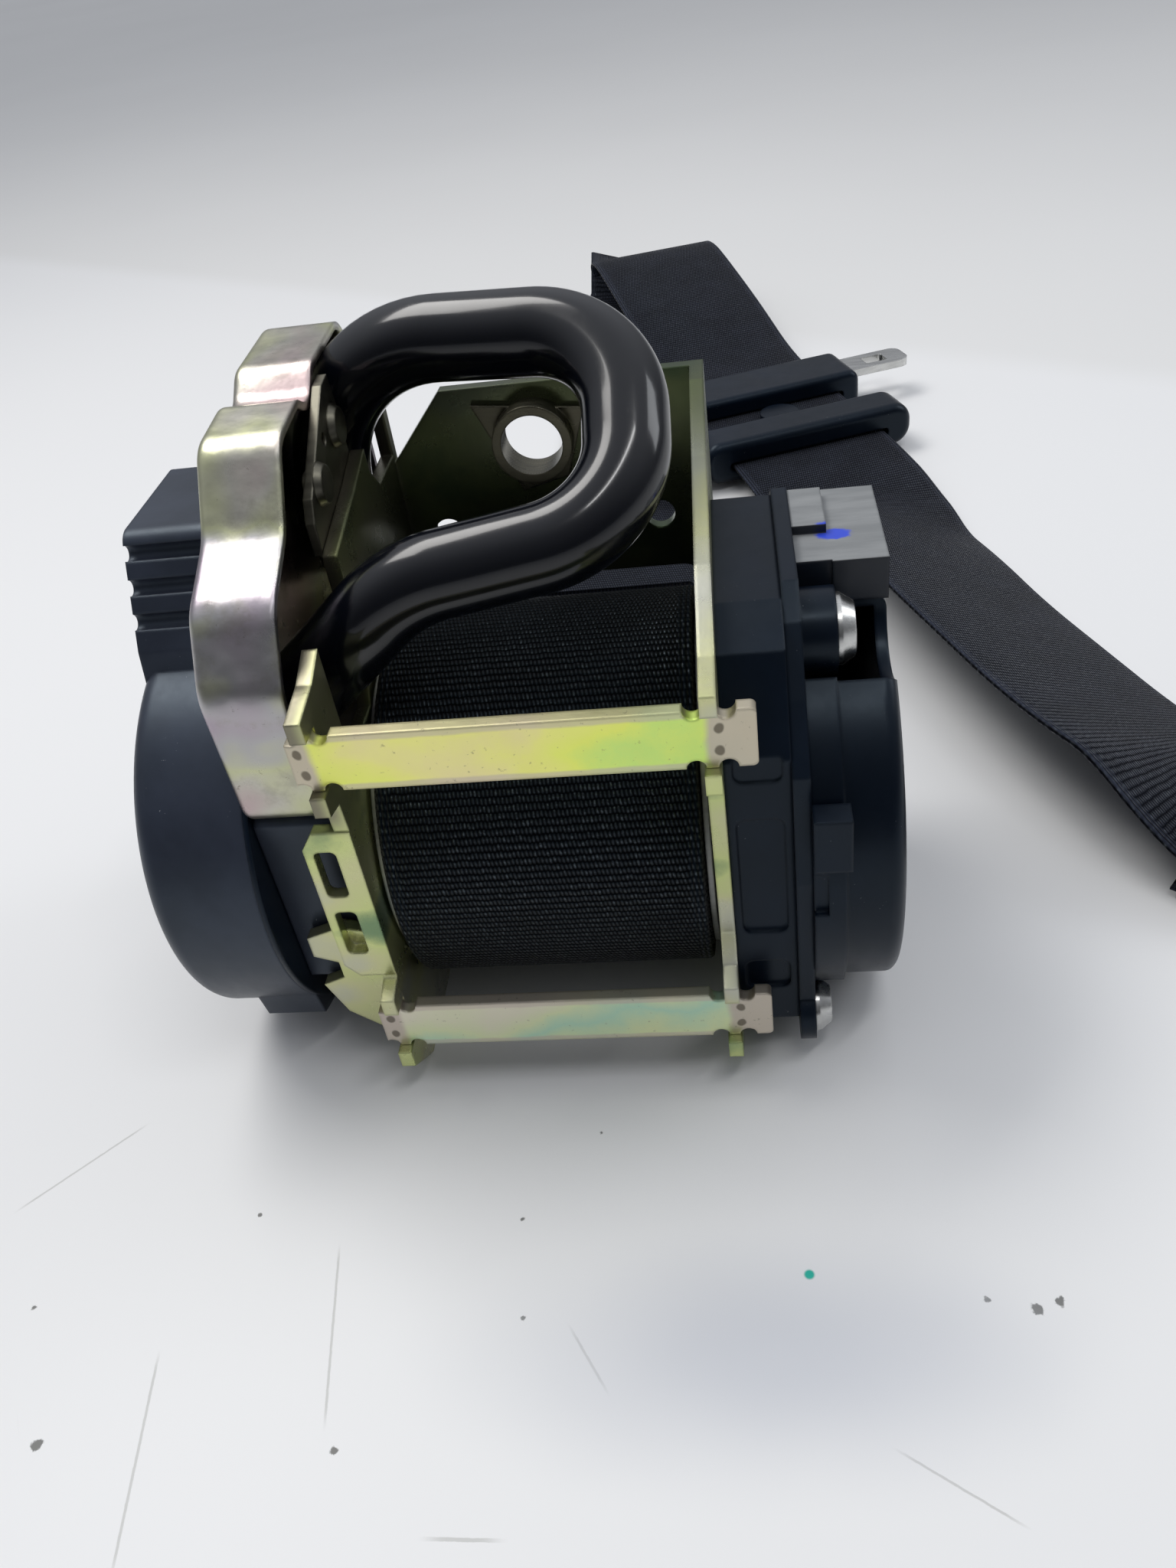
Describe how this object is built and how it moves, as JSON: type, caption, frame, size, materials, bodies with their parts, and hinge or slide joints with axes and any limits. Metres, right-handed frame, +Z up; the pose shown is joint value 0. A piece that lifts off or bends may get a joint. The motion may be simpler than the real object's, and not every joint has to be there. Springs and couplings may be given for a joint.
{
  "type": "seat belt",
  "caption": "Front seat belt retractor with bent pretensioner tube, pressed steel frame, wound webbing, locking parts, free strap, tongue, guide loop and anchor plate.",
  "frame": {"origin": "on the standing plane, under the middle of the retractor's box, without the strap and what is on it", "axes": "+X along the spool axis to the sensor side, +Y back through the mounting plate, +Z up"},
  "size_m": [0.2353, 0.3857, 0.1099],
  "materials": {
    "zinc_plate": "satin",
    "zinc_yellow": "satin",
    "zinc_green": "satin",
    "zinc_pale": "satin",
    "zinc_dark": "satin",
    "nut_black": "satin",
    "tube_black": "gloss",
    "steel_bright": "satin",
    "screw_steel": "satin",
    "seal_rubber": "matt",
    "cast_alloy": "satin",
    "cover_black": "satin",
    "connector_grey": "satin",
    "white_plastic": "satin",
    "webbing": "matt"
  },
  "bodies": {
    "retractor": {"frame": "zinc_plate", "tie_bar_upper": "zinc_yellow", "tie_bar_lower": "zinc_green", "mounting_nut": "nut_black", "pretensioner_tube": "tube_black", "drive_balls": "steel_bright", "piston_seal": "seal_rubber", "gas_generator": "steel_bright", "pretensioner_housing": "zinc_pale", "guide_plate": "zinc_dark", "guide_rivets": "zinc_dark", "pinion_carrier": "cast_alloy", "left_cover": "cover_black", "spring_plate": "cover_black", "return_spring": "steel_bright", "left_bush": "white_plastic", "lock_ring": "zinc_dark", "mechanism_base": "cover_black", "mechanism_flange": "cover_black", "right_cover": "cover_black", "connector_housing": "connector_grey", "connector_pins": "steel_bright", "base_screws": "screw_steel", "sensor_cup": "white_plastic", "sensor_ball": "steel_bright", "webbing_rear": "webbing", "webbing_bridge": "webbing", "webbing_front": "webbing", "stop_button": "cover_black", "webbing_hem": "webbing", "anchor_plate": "steel_bright"},
    "reel": {"spool": "cast_alloy", "torsion_bar": "steel_bright", "webbing_roll": "webbing", "drive_pinion": "steel_bright", "spring_arbor": "white_plastic", "lock_head": "cast_alloy"},
    "pawl": {"lock_pawl": "steel_bright"},
    "disc": {"inertia_disc": "white_plastic", "clutch_spring": "steel_bright"},
    "lever": {"sensor_lever": "white_plastic"},
    "tongue": {"tongue_body": "cover_black", "tongue_blade": "steel_bright"},
    "guide": {"guide_loop": "cover_black", "guide_lug": "steel_bright"}
  },
  "joints": [
    {"name": "reel_turn", "type": "hinge", "parent": "retractor", "child": "reel", "pos_m": [0.004, 0.0003, 0.035], "axis": [1, 0, 0], "continuous": true},
    {"name": "pawl_turn", "type": "hinge", "parent": "reel", "child": "pawl", "pos_m": [0.032, 0.0093, 0.044], "axis": [1, 0, 0], "range_deg": [0, 12]},
    {"name": "disc_turn", "type": "hinge", "parent": "reel", "child": "disc", "pos_m": [0.036, 0.0003, 0.035], "axis": [1, 0, 0], "range_deg": [-15, 15]},
    {"name": "lever_lift", "type": "hinge", "parent": "retractor", "child": "lever", "pos_m": [0.0361, 0.0067, 0.0111], "axis": [-1, 0, 0], "range_deg": [0, 4]},
    {"name": "tongue_slide", "type": "slide", "parent": "retractor", "child": "tongue", "axis": [0.3057, -0.9521, 0], "range_m": [-0.012, 0.0015]},
    {"name": "guide_slide", "type": "slide", "parent": "retractor", "child": "guide", "axis": [0.3057, -0.9521, 0], "range_m": [-0.004, 0.005]}
  ]
}
